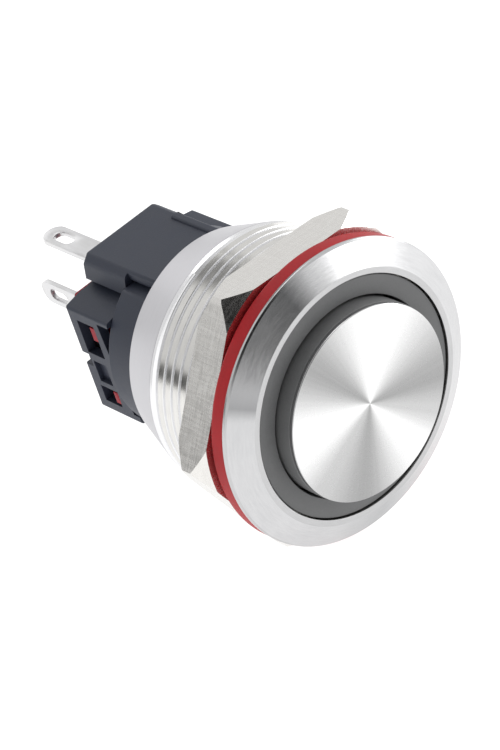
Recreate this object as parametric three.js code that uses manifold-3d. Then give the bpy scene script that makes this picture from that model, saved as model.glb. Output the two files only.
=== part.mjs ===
// A metal push button for a control panel: a threaded barrel with a bevelled head, a raised
// spring-loaded button, a gasket and a nut that clamp it in the panel, and a contact block with four lugs.
// Millimetres. The button's axis is Y: the front faces -Y and the lugs point to +Y. +Z is up. The origin is
// on the axis, in the plane of the head's rear face, which is the face that the panel meets.
import * as THREE from "three";
import { mergeVertices } from "three/addons/utils/BufferGeometryUtils.js";
import Module from "manifold-3d";

const wasm = await Module();
wasm.setup();

// Driving sizes of the barrel and its head.
const threadRadius = 12.5; // crest of the barrel's thread
const threadPitch = 1;
const threadDepth = 0.55;
const headRadius = threadRadius + 1.6;
const headRim = 0.4; // height of the plain rim behind the bevel
const headHeight = 1.56; // from the panel seat to the lip round the button
const lipWidth = 0.55;
const threadStart = 1; // the plain relief behind the head ends here
const threadEnd = 11.56;
const barrelEnd = 16.48;
const tailRadius = threadRadius - 1.9; // outside of the tapered tail at its rear edge
const tailWall = 0.8;
const webFront = 9.5; // the web across the barrel, which the return spring stands on
const webRear = 11.3;

// Driving sizes of the button.
const capRadius = 9;
const capThickness = 0.4;
const capStandout = 1.68; // from the lip of the head to the cap's face
const buttonTravel = 1.6;
const stemRadius = 2.4;
const carrierWall = 1.15;
const ringOuterInset = 0.3; // gap between the guide ring and the head's bore
const ringBore = capRadius + 2.2; // bore of the head that holds the guide ring
const ringDepth = 2.2; // depth behind the seat of that bore
const guideBore = capRadius + 1.2; // the barrel's bore behind it

// Clearances.
const gap = 0.3; // between pieces that touch
const slide = 0.3; // radial, between pieces that move in each other
const stop = 0.45; // between the stem's clip and the web, at rest
const cornerBreak = 0.15; // small chamfer on turned edges
const overcut = 1; // how far a cutting solid reaches past what it cuts

// Driving sizes of the panel fixings.
const gasketThickness = 1.3;
const nutAcrossFlats = 2 * threadRadius + 1.8;
const nutThickness = 3.6;
const nutTurn = 56.5; // degrees from +X to a corner of the nut, as it is tightened

// Driving sizes of the contact block.
const baseRadius = tailRadius - tailWall - slide;
const baseRear = 20.5;
const blockRear = 26.7;
const wingHalfWidth = 8.2;
const wingHalfHeight = 5.8;
const towerHalfWidth = 4.8;
const towerHalfHeight = baseRadius - 0.3;
const blockWall = 0.9;
const lugEnd = 35.2;
const lugWidth = 2.5;
const lugThickness = 0.5;

const round = 48; // segments round the large turned pieces
const fine = 20; // segments round pins and holes

const steel = { color: 0xc9c8c6, roughness: 0.28, metalness: 1 };
const spunSteel = { color: 0xe2e2e2, roughness: 0.2, metalness: 1 };
const nickel = { color: 0xc2bdb6, roughness: 0.35, metalness: 1 };
const tin = { color: 0xe0e0e2, roughness: 0.3, metalness: 1 };
const silver = { color: 0xd9d9d4, roughness: 0.25, metalness: 1 };
const brass = { color: 0xc8a24a, roughness: 0.35, metalness: 1 };
const slate = { color: 0x474a55, roughness: 0.55, metalness: 0 };
const charcoal = { color: 0x55565a, roughness: 0.6, metalness: 0 };
const redRubber = { color: 0xa8222a, roughness: 0.6, metalness: 0 };
const redPlastic = { color: 0xc02838, roughness: 0.45, metalness: 0 };
const blackRubber = { color: 0x1c1c1e, roughness: 0.8, metalness: 0 };

// A closed geometry as a manifold-3d solid.
function solid(geometry) {
  const bare = geometry.index ? geometry.toNonIndexed() : geometry.clone();
  bare.deleteAttribute("normal");
  bare.deleteAttribute("uv");
  const merged = mergeVertices(bare, 1e-4);
  return new wasm.Manifold(
    new wasm.Mesh({
      numProp: 3,
      vertProperties: merged.attributes.position.array,
      triVerts: new Uint32Array(merged.index.array),
    }),
  );
}

function geometryOf(body) {
  const mesh = body.getMesh();
  const geometry = new THREE.BufferGeometry();
  geometry.setAttribute("position", new THREE.BufferAttribute(mesh.vertProperties, 3));
  geometry.setIndex(new THREE.BufferAttribute(mesh.triVerts, 1));
  return geometry;
}

function cut(body, tools) {
  return geometryOf(tools.reduce((left, tool) => left.subtract(solid(tool)), solid(body)));
}

function join(pieces) {
  return geometryOf(pieces.slice(1).reduce((sum, piece) => sum.add(solid(piece)), solid(pieces[0])));
}

// A solid turned round the Y axis from a closed outline of [radius, y] points, in either direction.
function turned(outline, segments = round) {
  const points = outline.map(([r, y]) => new THREE.Vector2(r, y));
  if (THREE.ShapeUtils.area(points) < 0) points.reverse();
  points.push(points[0].clone());
  return new THREE.LatheGeometry(points, segments);
}

// A block between two corners.
function block(x0, x1, y0, y1, z0, z1) {
  const geometry = new THREE.BoxGeometry(x1 - x0, y1 - y0, z1 - z0);
  return geometry.translate((x0 + x1) / 2, (y0 + y1) / 2, (z0 + z1) / 2);
}

// An outline of [x, z] points extruded along Y.
function extruded(outline, y0, y1) {
  const shape = new THREE.Shape(outline.map(([x, z]) => new THREE.Vector2(x, z)));
  const geometry = new THREE.ExtrudeGeometry(shape, { depth: y1 - y0, bevelEnabled: false });
  return geometry.rotateX(Math.PI / 2).translate(0, y1, 0);
}

// A rod along Y.
function rod(radius, y0, y1, x = 0, z = 0, segments = fine) {
  return new THREE.CylinderGeometry(radius, radius, y1 - y0, segments).translate(x, (y0 + y1) / 2, z);
}

// The same geometry turned half a turn about the button's axis.
function opposite(geometry) {
  return geometry.clone().rotateY(Math.PI);
}

// A helical spring round an axis along Y, with one closed body.
function coil(radius, wire, y0, y1, turns, x = 0, z = 0) {
  const stepsPerTurn = 14;
  const steps = Math.round(turns * stepsPerTurn);
  const points = [];
  for (let i = 0; i <= steps; i++) {
    const angle = (i / stepsPerTurn) * 2 * Math.PI;
    const y = y0 + wire / 2 + ((y1 - y0 - wire) * i) / steps;
    points.push(new THREE.Vector3(x + radius * Math.cos(angle), y, z + radius * Math.sin(angle)));
  }
  const section = new THREE.Shape();
  section.absarc(0, 0, wire / 2, 0, 2 * Math.PI);
  const path = new THREE.CatmullRomCurve3(points);
  const settings = { steps, curveSegments: 4, bevelEnabled: false, extrudePath: path };
  return new THREE.ExtrudeGeometry(section, settings);
}

const group = new THREE.Group();

function add(name, geometry, look) {
  const mesh = new THREE.Mesh(geometry, new THREE.MeshStandardMaterial(look));
  mesh.name = name;
  group.add(mesh);
}

// ---- Barrel ----
const lipY = -headHeight;
const boreRadius = tailRadius - tailWall;
const stemHole = stemRadius + slide;

// The thread as V grooves, from the relief behind the head to the tapered tail.
function threadOutline() {
  const points = [];
  const count = Math.floor((threadEnd - threadStart) / threadPitch);
  const first = threadEnd - count * threadPitch;
  for (let i = 0; i <= count; i++) {
    const root = first + i * threadPitch;
    points.push([threadRadius - threadDepth, root]);
    if (i < count) points.push([threadRadius, root + threadPitch / 2]);
  }
  return points;
}

function barrel() {
  const reliefRadius = threadRadius - threadDepth - 0.1; // just under the thread's root
  const tailShoulder = threadRadius - 0.2; // radius of the tail where the thread runs out
  return turned([
    [ringBore, lipY],
    [ringBore + lipWidth, lipY],
    [headRadius - cornerBreak, -headRim],
    [headRadius, -headRim + cornerBreak],
    [headRadius, 0],
    [reliefRadius, 0],
    ...threadOutline(),
    [tailShoulder, threadEnd + 0.1],
    [tailRadius, barrelEnd],
    [boreRadius, barrelEnd],
    [boreRadius, webRear],
    [stemHole, webRear],
    [stemHole, webFront],
    [guideBore, webFront],
    [guideBore, ringDepth],
    [ringBore, ringDepth],
  ]);
}

// ---- Guide ring and seal, between the head and the button ----
const carrierRadius = capRadius + 0.05;
const ringInner = carrierRadius + slide;
const ringOuter = ringBore - ringOuterInset;
const sealThickness = 0.9;
const sealRear = ringDepth - gap;
const sealFront = sealRear - sealThickness;
const ringSink = 0.2; // how far the ring sits below the lip
const ringFront = lipY + ringSink;

function guideRing() {
  const ringRear = sealFront - gap;
  return turned([
    [ringInner + cornerBreak, ringFront],
    [ringOuter, ringFront],
    [ringOuter, ringRear],
    [ringInner, ringRear],
    [ringInner, ringFront + cornerBreak],
  ]);
}

// A ring whose inner and outer edges come to a lip half way along it.
function sealRing() {
  const middle = (sealFront + sealRear) / 2;
  const lipHeight = 0.3;
  const lipReach = 0.1; // how much nearer the button the lip is than the guide ring
  return turned([
    [ringInner - lipReach, middle],
    [ringInner + lipHeight, sealFront],
    [ringOuter - lipHeight, sealFront],
    [ringOuter, middle],
    [ringOuter - lipHeight, sealRear],
    [ringInner + lipHeight, sealRear],
  ]);
}

// ---- Button: cap, carrier with its stem, and the clip that keeps it in the barrel ----
const capFace = lipY - capStandout;
const capRear = capFace + capThickness;
const carrierFront = capRear + gap;
const spigotRadius = 1.5;
const spigotLength = 1;
const carrierPlate = 1.45; // thickness of the carrier's front plate
const plateRear = carrierFront + carrierPlate;
const collarFront = ringDepth; // the collar that stays behind the seal
const collarThickness = 1;
const collarRear = collarFront + collarThickness;
const collarRadius = guideBore - slide - 0.05;
const clipFront = webRear + stop;
const clipThickness = 0.5;
const grooveDepth = 0.5;
const grooveMargin = 0.1; // beside the clip, at each side
const grooveRadius = stemRadius - grooveDepth;
const stemEnd = 19.8;

function buttonCap() {
  return turned([
    [0, capFace],
    [capRadius - cornerBreak, capFace],
    [capRadius, capFace + cornerBreak],
    [capRadius, capRear],
    [spigotRadius, capRear],
    [spigotRadius, capRear + spigotLength],
    [0, capRear + spigotLength],
  ]);
}

function capCarrier() {
  const socketRadius = spigotRadius + slide;
  const socketEnd = capRear + spigotLength + gap;
  const grooveFront = clipFront - grooveMargin;
  const grooveRear = clipFront + clipThickness + grooveMargin;
  return turned([
    [0, socketEnd],
    [socketRadius, socketEnd],
    [socketRadius, carrierFront],
    [carrierRadius, carrierFront],
    [carrierRadius, collarFront],
    [collarRadius, collarFront],
    [collarRadius, collarRear],
    [carrierRadius - carrierWall, collarRear],
    [carrierRadius - carrierWall, plateRear],
    [stemRadius, plateRear],
    [stemRadius, grooveFront],
    [grooveRadius, grooveFront],
    [grooveRadius, grooveRear],
    [stemRadius, grooveRear],
    [stemRadius, stemEnd],
    [0, stemEnd],
  ]);
}

function stemClip() {
  const clipOuter = 4;
  const clipInner = grooveRadius + 0.2; // clear of the groove's floor
  const halfMouth = 1.6;
  const ring = turned(
    [
      [clipInner, clipFront],
      [clipOuter, clipFront],
      [clipOuter, clipFront + clipThickness],
      [clipInner, clipFront + clipThickness],
    ],
    fine * 2,
  );
  const mouth = block(
    -halfMouth,
    halfMouth,
    clipFront - overcut,
    clipFront + clipThickness + overcut,
    0,
    clipOuter + overcut,
  );
  return cut(ring, [mouth]);
}

function returnSpring() {
  const springRadius = (stemRadius + carrierRadius - carrierWall) / 2;
  const springWire = 0.8;
  const springTurns = 5.5;
  return coil(springRadius, springWire, plateRear + gap, webFront - gap, springTurns);
}

// ---- Panel fixings ----
const panelBore = threadRadius + slide;
const gasketFront = gap;
const gasketRear = gasketFront + gasketThickness;
const nutFront = gasketRear + gap;
const nutRear = nutFront + nutThickness;

function panelGasket() {
  const rearChamfer = 0.5;
  return turned([
    [panelBore, gasketFront],
    [headRadius, gasketFront],
    [headRadius, gasketRear - rearChamfer],
    [headRadius - rearChamfer, gasketRear],
    [panelBore, gasketRear],
  ]);
}

// A hexagon whose corners are turned off at both faces.
function panelNut() {
  const cornerRadius = nutAcrossFlats / Math.sqrt(3);
  const cornerLength = 1; // what is left of each upright corner edge
  const chamferWidth = 1.1; // along the radius, at a corner
  const chamferFoot = cornerRadius - chamferWidth;
  const middle = (nutFront + nutRear) / 2 + 0.2; // the front chamfer is a little the longer
  const corners = [];
  for (let i = 0; i < 6; i++) {
    const angle = ((nutTurn + 60 * i) * Math.PI) / 180;
    corners.push([cornerRadius * Math.cos(angle), cornerRadius * Math.sin(angle)]);
  }
  const prism = extruded(corners, nutFront, nutRear);
  const envelope = turned([
    [panelBore, nutFront],
    [chamferFoot, nutFront],
    [cornerRadius, middle - cornerLength / 2],
    [cornerRadius, middle + cornerLength / 2],
    [chamferFoot, nutRear],
    [panelBore, nutRear],
  ]);
  return geometryOf(solid(prism).intersect(solid(envelope)));
}

// ---- Contact block: the round base that plugs into the barrel, and the housing behind it ----
const tongueThickness = 1;
const tongueInner = towerHalfHeight - tongueThickness;
const blockFront = barrelEnd + gap;
const clipRoom = 0.5; // ahead of the base when the button is pressed home
const baseFront = clipFront + clipThickness + buttonTravel + clipRoom;
const housingFront = baseRear + gap;
const rearWallFront = blockRear - blockWall;
const cavityWidth = wingHalfWidth - blockWall;
const cavityHeight = wingHalfHeight - blockWall;
const hubHalf = 2.6; // half the width of the plunger's square hub
const hubFront = 18.8;
const screwX = 2.9;
const screwZ = towerHalfHeight - 2.8;
const screwRadius = 0.8;
const screwHole = screwRadius + slide;
const screwEnd = 17.2;

// Both screws, the upper one and its opposite.
function screwHoles(y0, y1) {
  const hole = rod(screwHole, y0, y1, screwX, screwZ);
  return [hole, opposite(hole)];
}

function mountingBase() {
  const plugRadius = boreRadius - slide;
  const flat = tongueInner - gap;
  const hubPocket = hubHalf + slide;
  const wide = baseRadius + overcut;
  const disc = turned([
    [stemHole, baseFront],
    [plugRadius, baseFront],
    [plugRadius, blockFront],
    [baseRadius, blockFront],
    [baseRadius, baseRear],
    [stemHole, baseRear],
  ]);
  const behind = baseRear + overcut;
  const topFlat = block(-wide, wide, blockFront, behind, flat, wide);
  const pocket = block(-hubPocket, hubPocket, hubFront - gap, behind, -hubPocket, hubPocket);
  const holes = screwHoles(screwEnd - gap, behind);
  return cut(disc, [topFlat, opposite(topFlat), pocket, ...holes]);
}

// The block's cross-shaped outline: two wings, and a tower above and below with a groove at its foot.
function blockOutline() {
  const crownX = wingHalfWidth - 2; // the wing's top rises a little towards the tower's foot
  const crownRise = 0.4;
  const grooveX = towerHalfWidth + 0.6;
  const grooveReach = 0.4; // how far the groove cuts in under the tower
  const shoulderX = towerHalfWidth + 0.3;
  const shoulderRise = 1.1;
  const towerChamfer = 0.6;
  const corner = [
    [wingHalfWidth, wingHalfHeight],
    [crownX, wingHalfHeight + crownRise],
    [grooveX, wingHalfHeight + crownRise],
    [towerHalfWidth - grooveReach, wingHalfHeight + crownRise + 0.1],
    [shoulderX, wingHalfHeight + shoulderRise],
    [towerHalfWidth, towerHalfHeight - towerChamfer],
    [towerHalfWidth - towerChamfer, towerHalfHeight],
  ];
  const mirrored = (sx, sz) => corner.map(([x, z]) => [sx * x, sz * z]);
  return [
    ...mirrored(1, 1),
    ...mirrored(-1, 1).reverse(),
    ...mirrored(-1, -1),
    ...mirrored(1, -1).reverse(),
  ];
}

// The openings in the left wing's wall: two windows, a shallow pocket, a notch and the tapered mouth.
const windowFront = 23.1;
const windowRear = 25.5;
const upperWindow = { y0: windowFront, y1: windowRear, z0: 1, z1: 4.7 };
const lowerWindow = { y0: windowFront, y1: windowRear, z0: -4.7, z1: -2.9 };
const pocket = { y0: windowFront + 0.3, y1: 25.2, z0: -2.3, z1: 0.1, depth: 0.5 };
const notch = { y0: 25.5, halfHeight: 0.7, depth: 0.6 };
const mouthEdge = { low: -5, high: 5.3, lowRear: 21.6, highRear: 22.4 };

function wallOpenings() {
  const outside = -wingHalfWidth - overcut;
  const inside = -cavityWidth + 0.1; // just through the wall
  const through = ({ y0, y1, z0, z1 }) => block(outside, inside, y0, y1, z0, z1);
  const shallow = block(outside, -wingHalfWidth + pocket.depth, pocket.y0, pocket.y1, pocket.z0, pocket.z1);
  const rearNotch = block(
    outside,
    -wingHalfWidth + notch.depth,
    notch.y0,
    blockRear + overcut,
    -notch.halfHeight,
    notch.halfHeight,
  );
  const mouth = new THREE.Shape([
    new THREE.Vector2(housingFront - overcut, mouthEdge.low),
    new THREE.Vector2(mouthEdge.lowRear, mouthEdge.low),
    new THREE.Vector2(mouthEdge.highRear, mouthEdge.high),
    new THREE.Vector2(housingFront - overcut, mouthEdge.high),
  ]);
  const wedge = new THREE.ExtrudeGeometry(mouth, { depth: inside - outside, bevelEnabled: false });
  wedge.applyMatrix4(
    new THREE.Matrix4().makeBasis(
      new THREE.Vector3(0, 1, 0),
      new THREE.Vector3(0, 0, 1),
      new THREE.Vector3(1, 0, 0),
    ),
  );
  wedge.translate(outside, 0, 0);
  return [through(upperWindow), through(lowerWindow), shallow, rearNotch, wedge];
}

const slotMargin = 0.3; // round each lug where it passes through the rear wall

// The tongue that carries the tower's top forward over the base, with a low rib along its right side.
function tongues() {
  const side = towerHalfWidth - 0.6;
  const ribWidth = 0.9;
  const ribRear = 23;
  const ribHeight = 0.25;
  const tongue = block(-side, side, blockFront, housingFront + overcut, tongueInner, towerHalfHeight);
  const rib = block(
    side - ribWidth,
    side,
    blockFront,
    ribRear,
    towerHalfHeight - blockWall / 2,
    towerHalfHeight + ribHeight,
  );
  return [tongue, rib, opposite(tongue), opposite(rib)];
}

function contactHousing() {
  const towerCavityWidth = towerHalfWidth - blockWall;
  const towerCavityHeight = towerHalfHeight - blockWall;
  const front = housingFront - overcut;
  const wallStart = rearWallFront - overcut;
  const wallEnd = blockRear + overcut;
  const openings = wallOpenings();
  const hubHole = hubHalf + slide;
  const upper = topBlade(wallStart, wallEnd, slotMargin);
  const left = leftBlade(wallStart, wallEnd, slotMargin);
  return cut(join([extruded(blockOutline(), housingFront, blockRear), ...tongues()]), [
    block(-cavityWidth, cavityWidth, front, rearWallFront, -cavityHeight, cavityHeight),
    block(
      -towerCavityWidth,
      towerCavityWidth,
      housingFront,
      rearWallFront,
      -towerCavityHeight,
      towerCavityHeight,
    ),
    block(-hubHole, hubHole, wallStart, wallEnd, -hubHole, hubHole),
    ...openings,
    ...openings.map(opposite),
    ...[upper, left].flatMap((slot) => [slot, opposite(slot)]),
    ...screwHoles(wallStart, wallEnd),
  ]);
}

// ---- Terminals: the upper lug lies flat, the left one stands upright, and the other two face them ----
const topX = -2.4; // middle of the upper lug
const topZ = towerHalfHeight - 1.7;
const leftX = -4.85;
const leftZ = 2.7;
const footThickness = 0.5;
const openFoot = 24.4; // front faces of the contact feet
const closedFoot = 22;
const rivetThickness = 0.4;
const rivetRadius = 0.8;
const rivetOffset = towerHalfHeight - 3.2; // from the axis to the upper contact
const sideRivet = 5;
const footHalf = 0.9; // half the side of a contact foot under its rivet
const lugHoleHalf = 0.62;
const lugHoleLength = 1.3; // between the middles of the hole's two ends
const lugHoleInset = 1.9; // from the lug's tip to the middle of the hole's rear end

function topBlade(y0, y1, margin = 0) {
  const half = lugWidth / 2 + margin;
  const thick = lugThickness / 2 + margin;
  return block(topX - half, topX + half, y0, y1, topZ - thick, topZ + thick);
}

function leftBlade(y0, y1, margin = 0) {
  const half = lugWidth / 2 + margin;
  const thick = lugThickness / 2 + margin;
  return block(leftX - thick, leftX + thick, y0, y1, leftZ - half, leftZ + half);
}

// A lug lying flat round the origin's height, with a round end and a long hole. It runs from y0 to lugEnd.
function flatLug(y0) {
  const half = lugWidth / 2;
  const outline = new THREE.Shape();
  outline.moveTo(-half, y0);
  outline.lineTo(half, y0);
  outline.lineTo(half, lugEnd - half);
  outline.absarc(0, lugEnd - half, half, 0, Math.PI);
  outline.closePath();
  const holeEnd = lugEnd - lugHoleInset;
  const holeStart = holeEnd - lugHoleLength;
  const hole = new THREE.Path();
  hole.absarc(0, holeEnd, lugHoleHalf, 0, Math.PI);
  hole.absarc(0, holeStart, lugHoleHalf, Math.PI, 2 * Math.PI);
  hole.closePath();
  outline.holes.push(hole);
  const geometry = new THREE.ExtrudeGeometry(outline, {
    depth: lugThickness,
    bevelEnabled: false,
    curveSegments: 8,
  });
  return geometry.translate(0, 0, -lugThickness / 2);
}

function topTerminal() {
  const lug = flatLug(openFoot).translate(topX, 0, topZ);
  const footLeft = topX - lugWidth / 2;
  const footTop = topZ + lugThickness / 2;
  const foot = block(footLeft, footHalf, openFoot, openFoot + footThickness, rivetOffset - footHalf, footTop);
  return join([lug, foot]);
}

function leftTerminal() {
  const lug = flatLug(rearWallFront - 0.1).rotateY(Math.PI / 2).translate(leftX, 0, leftZ);
  const stripWidth = 0.9;
  const stripX0 = leftX - lugThickness / 2;
  const stripX1 = leftX + lugThickness / 2;
  const stripZ0 = leftZ - lugWidth / 2;
  const stripZ1 = stripZ0 + stripWidth;
  const strip = block(stripX0, stripX1, closedFoot, rearWallFront, stripZ0, stripZ1);
  const foot = block(
    -sideRivet - footHalf,
    -sideRivet + footHalf,
    closedFoot,
    closedFoot + footThickness,
    -footHalf,
    stripZ1,
  );
  return join([lug, strip, foot]);
}

function topRivet() {
  const rear = openFoot - gap;
  return rod(rivetRadius, rear - rivetThickness, rear, 0, rivetOffset);
}

function leftRivet() {
  const front = closedFoot + footThickness + gap;
  return rod(rivetRadius, front, front + rivetThickness, -sideRivet, 0);
}

// The red collar round the upright lug, behind the rear wall.
function leftInsulator() {
  const front = blockRear + gap;
  const halfWidth = 1.25;
  const halfHeight = 2.8;
  const rear = front + 1.2;
  const body = block(leftX - halfWidth, leftX + halfWidth, front, rear, leftZ - halfHeight, leftZ + halfHeight);
  return cut(body, [leftBlade(front - overcut, rear + overcut, slotMargin)]);
}

// ---- Moving contacts: the red plunger on the stem, its two bridges and their springs ----
const bridgeThickness = 0.4;
const contactGap = 0.1; // between a bridge and a rivet that it touches
const openBridge = openFoot - gap - rivetThickness - contactGap - buttonTravel - bridgeThickness;
const closedBridge = closedFoot + footThickness + gap + rivetThickness + contactGap;
const bridgeHalf = 0.9;
const slotHalf = bridgeHalf + slide;
const openSlotFront = openBridge - 1.1; // room for the open bridge's spring
const openSlotRear = openBridge + bridgeThickness + gap;
const closedSlotFront = closedBridge - gap;
const closedSlotRear = closedBridge + bridgeThickness + 1.2; // room for the closed bridge's spring
const hubFloor = 0.3; // of the hub behind its rear slot
const hubRear = closedSlotRear + hubFloor;
const armFront = windowFront + 0.05;
const armRear = armFront + 0.7;
const upperArmZ = [2.9, 4.4];
const lowerArmZ = [-4.4, -3.1];

// The hub slides in the base's pocket, and its arms end in the windows of both wings, flush with the wall.
function plunger() {
  const armEnd = wingHalfWidth - 0.05;
  const armRoot = 1.5;
  const hub = block(-hubHalf, hubHalf, hubFront, hubRear, -hubHalf, hubHalf);
  const upperArm = block(-armEnd, 0, armFront, armRear, ...upperArmZ);
  const upperRoot = block(-hubHalf, -armRoot, armFront, armRear, armRoot, upperArmZ[1]);
  const lowerArm = block(-armEnd, -armRoot, armFront, armRear, ...lowerArmZ);
  const lowerRoot = block(-hubHalf, -armRoot, armFront, armRear, lowerArmZ[0], -armRoot);
  const arms = [upperArm, upperRoot, lowerArm, lowerRoot];
  const body = join([hub, ...arms, ...arms.map(opposite)]);
  const reach = hubHalf + overcut;
  return cut(body, [
    rod(stemHole, hubFront - overcut, stemEnd + gap),
    block(-slotHalf, slotHalf, openSlotFront, openSlotRear, -reach, reach),
    block(-reach, reach, closedSlotFront, closedSlotRear, -slotHalf, slotHalf),
  ]);
}

function openContactBridge() {
  const reach = rivetOffset + rivetRadius;
  return block(-bridgeHalf, bridgeHalf, openBridge, openBridge + bridgeThickness, -reach, reach);
}

function closedContactBridge() {
  const reach = sideRivet + rivetRadius;
  return block(-reach, reach, closedBridge, closedBridge + bridgeThickness, -bridgeHalf, bridgeHalf);
}

const contactWire = 0.2;
const contactCoil = 0.7;
const contactTurns = 2;

function contactSpring(y0, y1) {
  return coil(contactCoil, contactWire, y0 + contactGap, y1 - contactGap, contactTurns);
}

// A pan-head screw that holds the housing to the base.
function upperScrew() {
  const headFront = blockRear + gap;
  const headRear = headFront + 0.8;
  const screwHead = 1.5;
  const slotHalfWidth = 0.2;
  const slotFloor = headFront + 0.4;
  const slotEnd = screwHead + overcut;
  const head = rod(screwHead, headFront, headRear, screwX, screwZ);
  const shank = rod(screwRadius, screwEnd, slotFloor, screwX, screwZ);
  const slot = block(
    screwX - slotEnd,
    screwX + slotEnd,
    slotFloor,
    headRear + overcut,
    screwZ - slotHalfWidth,
    screwZ + slotHalfWidth,
  );
  return cut(join([head, shank]), [slot]);
}

add("barrel", barrel(), steel);
add("guide_ring", guideRing(), charcoal);
add("seal_ring", sealRing(), blackRubber);
add("button_cap", buttonCap(), spunSteel);
add("cap_carrier", capCarrier(), charcoal);
add("stem_clip", stemClip(), steel);
add("return_spring", returnSpring(), steel);
add("panel_gasket", panelGasket(), redRubber);
add("panel_nut", panelNut(), nickel);
add("mounting_base", mountingBase(), slate);
add("contact_housing", contactHousing(), slate);
add("plunger", plunger(), redPlastic);
add("open_bridge", openContactBridge(), brass);
add("closed_bridge", closedContactBridge(), brass);
add("open_contact_spring", contactSpring(openSlotFront, openBridge), steel);
add("closed_contact_spring", contactSpring(closedBridge + bridgeThickness, closedSlotRear), steel);
add("upper_terminal", topTerminal(), tin);
add("lower_terminal", opposite(topTerminal()), tin);
add("left_terminal", leftTerminal(), tin);
add("right_terminal", opposite(leftTerminal()), tin);
add("upper_rivet", topRivet(), silver);
add("lower_rivet", opposite(topRivet()), silver);
add("left_rivet", leftRivet(), silver);
add("right_rivet", opposite(leftRivet()), silver);
add("left_insulator", leftInsulator(), redPlastic);
add("right_insulator", opposite(leftInsulator()), redPlastic);
add("upper_screw", upperScrew(), steel);
add("lower_screw", opposite(upperScrew()), steel);

export default group;
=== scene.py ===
# Panel push button with a spun cap: looks and close-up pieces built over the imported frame.
# Outlines and sizes are in millimetres and become metres when a piece is finished.
import math
import bpy
import bmesh
from mathutils import Vector, Quaternion, Matrix


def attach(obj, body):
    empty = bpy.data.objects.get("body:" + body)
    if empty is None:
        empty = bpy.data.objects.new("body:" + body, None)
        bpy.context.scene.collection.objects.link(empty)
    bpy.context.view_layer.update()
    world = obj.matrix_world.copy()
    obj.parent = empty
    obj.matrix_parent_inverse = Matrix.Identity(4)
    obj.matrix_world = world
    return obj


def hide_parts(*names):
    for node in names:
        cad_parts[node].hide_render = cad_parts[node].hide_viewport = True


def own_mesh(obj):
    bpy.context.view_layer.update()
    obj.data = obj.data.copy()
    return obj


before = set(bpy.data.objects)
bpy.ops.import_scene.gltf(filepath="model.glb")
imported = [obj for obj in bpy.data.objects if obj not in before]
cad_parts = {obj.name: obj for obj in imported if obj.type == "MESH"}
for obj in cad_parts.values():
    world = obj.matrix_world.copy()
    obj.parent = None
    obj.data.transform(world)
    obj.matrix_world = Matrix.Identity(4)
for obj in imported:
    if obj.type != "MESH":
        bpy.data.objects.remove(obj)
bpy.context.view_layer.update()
scene = bpy.context.scene
print("frame loaded:", len(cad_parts), "nodes")


# camera
cameraView = {
    "aim": (-5.92, 4.26, 4.65),
    "azimuth": -32.37,
    "elevation": 35.35,
    "roll": -18.57,
    "distance": 258,
    "lens": 144,
}


def placeCamera(view):
    turn, rise = math.radians(view["azimuth"]), math.radians(view["elevation"])
    back = Vector((math.sin(turn) * math.cos(rise), -math.cos(turn) * math.cos(rise), math.sin(rise)))
    data = bpy.data.cameras.new("camera")
    data.sensor_width = 36
    data.lens = view["lens"]
    data.clip_start, data.clip_end = 0.01, 20
    camera = bpy.data.objects.new("camera", data)
    camera.rotation_mode = "QUATERNION"
    camera.location = (Vector(view["aim"]) + back * view["distance"]) / 1000
    roll = Quaternion((0, 0, 1), math.radians(view["roll"]))
    camera.rotation_quaternion = (-back).to_track_quat("-Z", "Y") @ roll
    scene.collection.objects.link(camera)
    scene.camera = camera


placeCamera(cameraView)


# node helpers
def startMaterial(name, look):
    made = bpy.data.materials.new(name)
    made.use_nodes = True
    tree = made.node_tree
    shader = tree.nodes["Principled BSDF"]
    shader.inputs["Metallic"].default_value = look.get("metal", 0)
    shader.inputs["Roughness"].default_value = look["roughness"]
    shader.inputs["Base Color"].default_value = (*look["colour"], 1)
    shader.inputs["IOR"].default_value = look.get("ior", 1.5)
    shader.inputs["Anisotropic"].default_value = look.get("brushed", 0)
    shader.inputs["Specular IOR Level"].default_value = look.get("gloss", 0.5)
    made.diffuse_color = (*look["colour"], 1)
    return made, tree, shader


def addNode(tree, kind, settings=None, **inputs):
    made = tree.nodes.new(kind)
    for key, value in (settings or {}).items():
        setattr(made, key, value)
    for key, value in inputs.items():
        socket = made.inputs[key.replace("_", " ")]
        if isinstance(value, bpy.types.NodeSocket):
            tree.links.new(value, socket)
        else:
            socket.default_value = value
    return made


def calc(tree, operation, *values):
    made = tree.nodes.new("ShaderNodeMath")
    made.operation = operation
    for socket, value in zip(made.inputs, values):
        if isinstance(value, bpy.types.NodeSocket):
            tree.links.new(value, socket)
        else:
            socket.default_value = value
    return made.outputs[0]


def place(tree):
    return addNode(tree, "ShaderNodeTexCoord").outputs["Object"]


def noise(tree, vector, scale, detail=3, roughness=0.55, w=None):
    made = addNode(tree, "ShaderNodeTexNoise", {"noise_dimensions": "3D" if w is None else "4D"},
                   Vector=vector, Scale=scale, Detail=detail, Roughness=roughness)
    if w is not None:
        tree.links.new(w, made.inputs["W"])
    return made.outputs[0]


def spread(tree, value, low, high, fromLow=0.3, fromHigh=0.7):
    made = addNode(tree, "ShaderNodeMapRange", Value=value)
    for socket, number in zip(("From Min", "From Max", "To Min", "To Max"), (fromLow, fromHigh, low, high)):
        made.inputs[socket].default_value = number
    return made.outputs[0]


def mixColour(tree, factor, first, second):
    made = tree.nodes.new("ShaderNodeMix")
    made.data_type = "RGBA"
    for socket, value in ((made.inputs[0], factor), (made.inputs[6], first), (made.inputs[7], second)):
        if isinstance(value, bpy.types.NodeSocket):
            tree.links.new(value, socket)
        else:
            socket.default_value = value if isinstance(value, (int, float)) else (*value, 1)
    return made.outputs[2]


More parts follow.
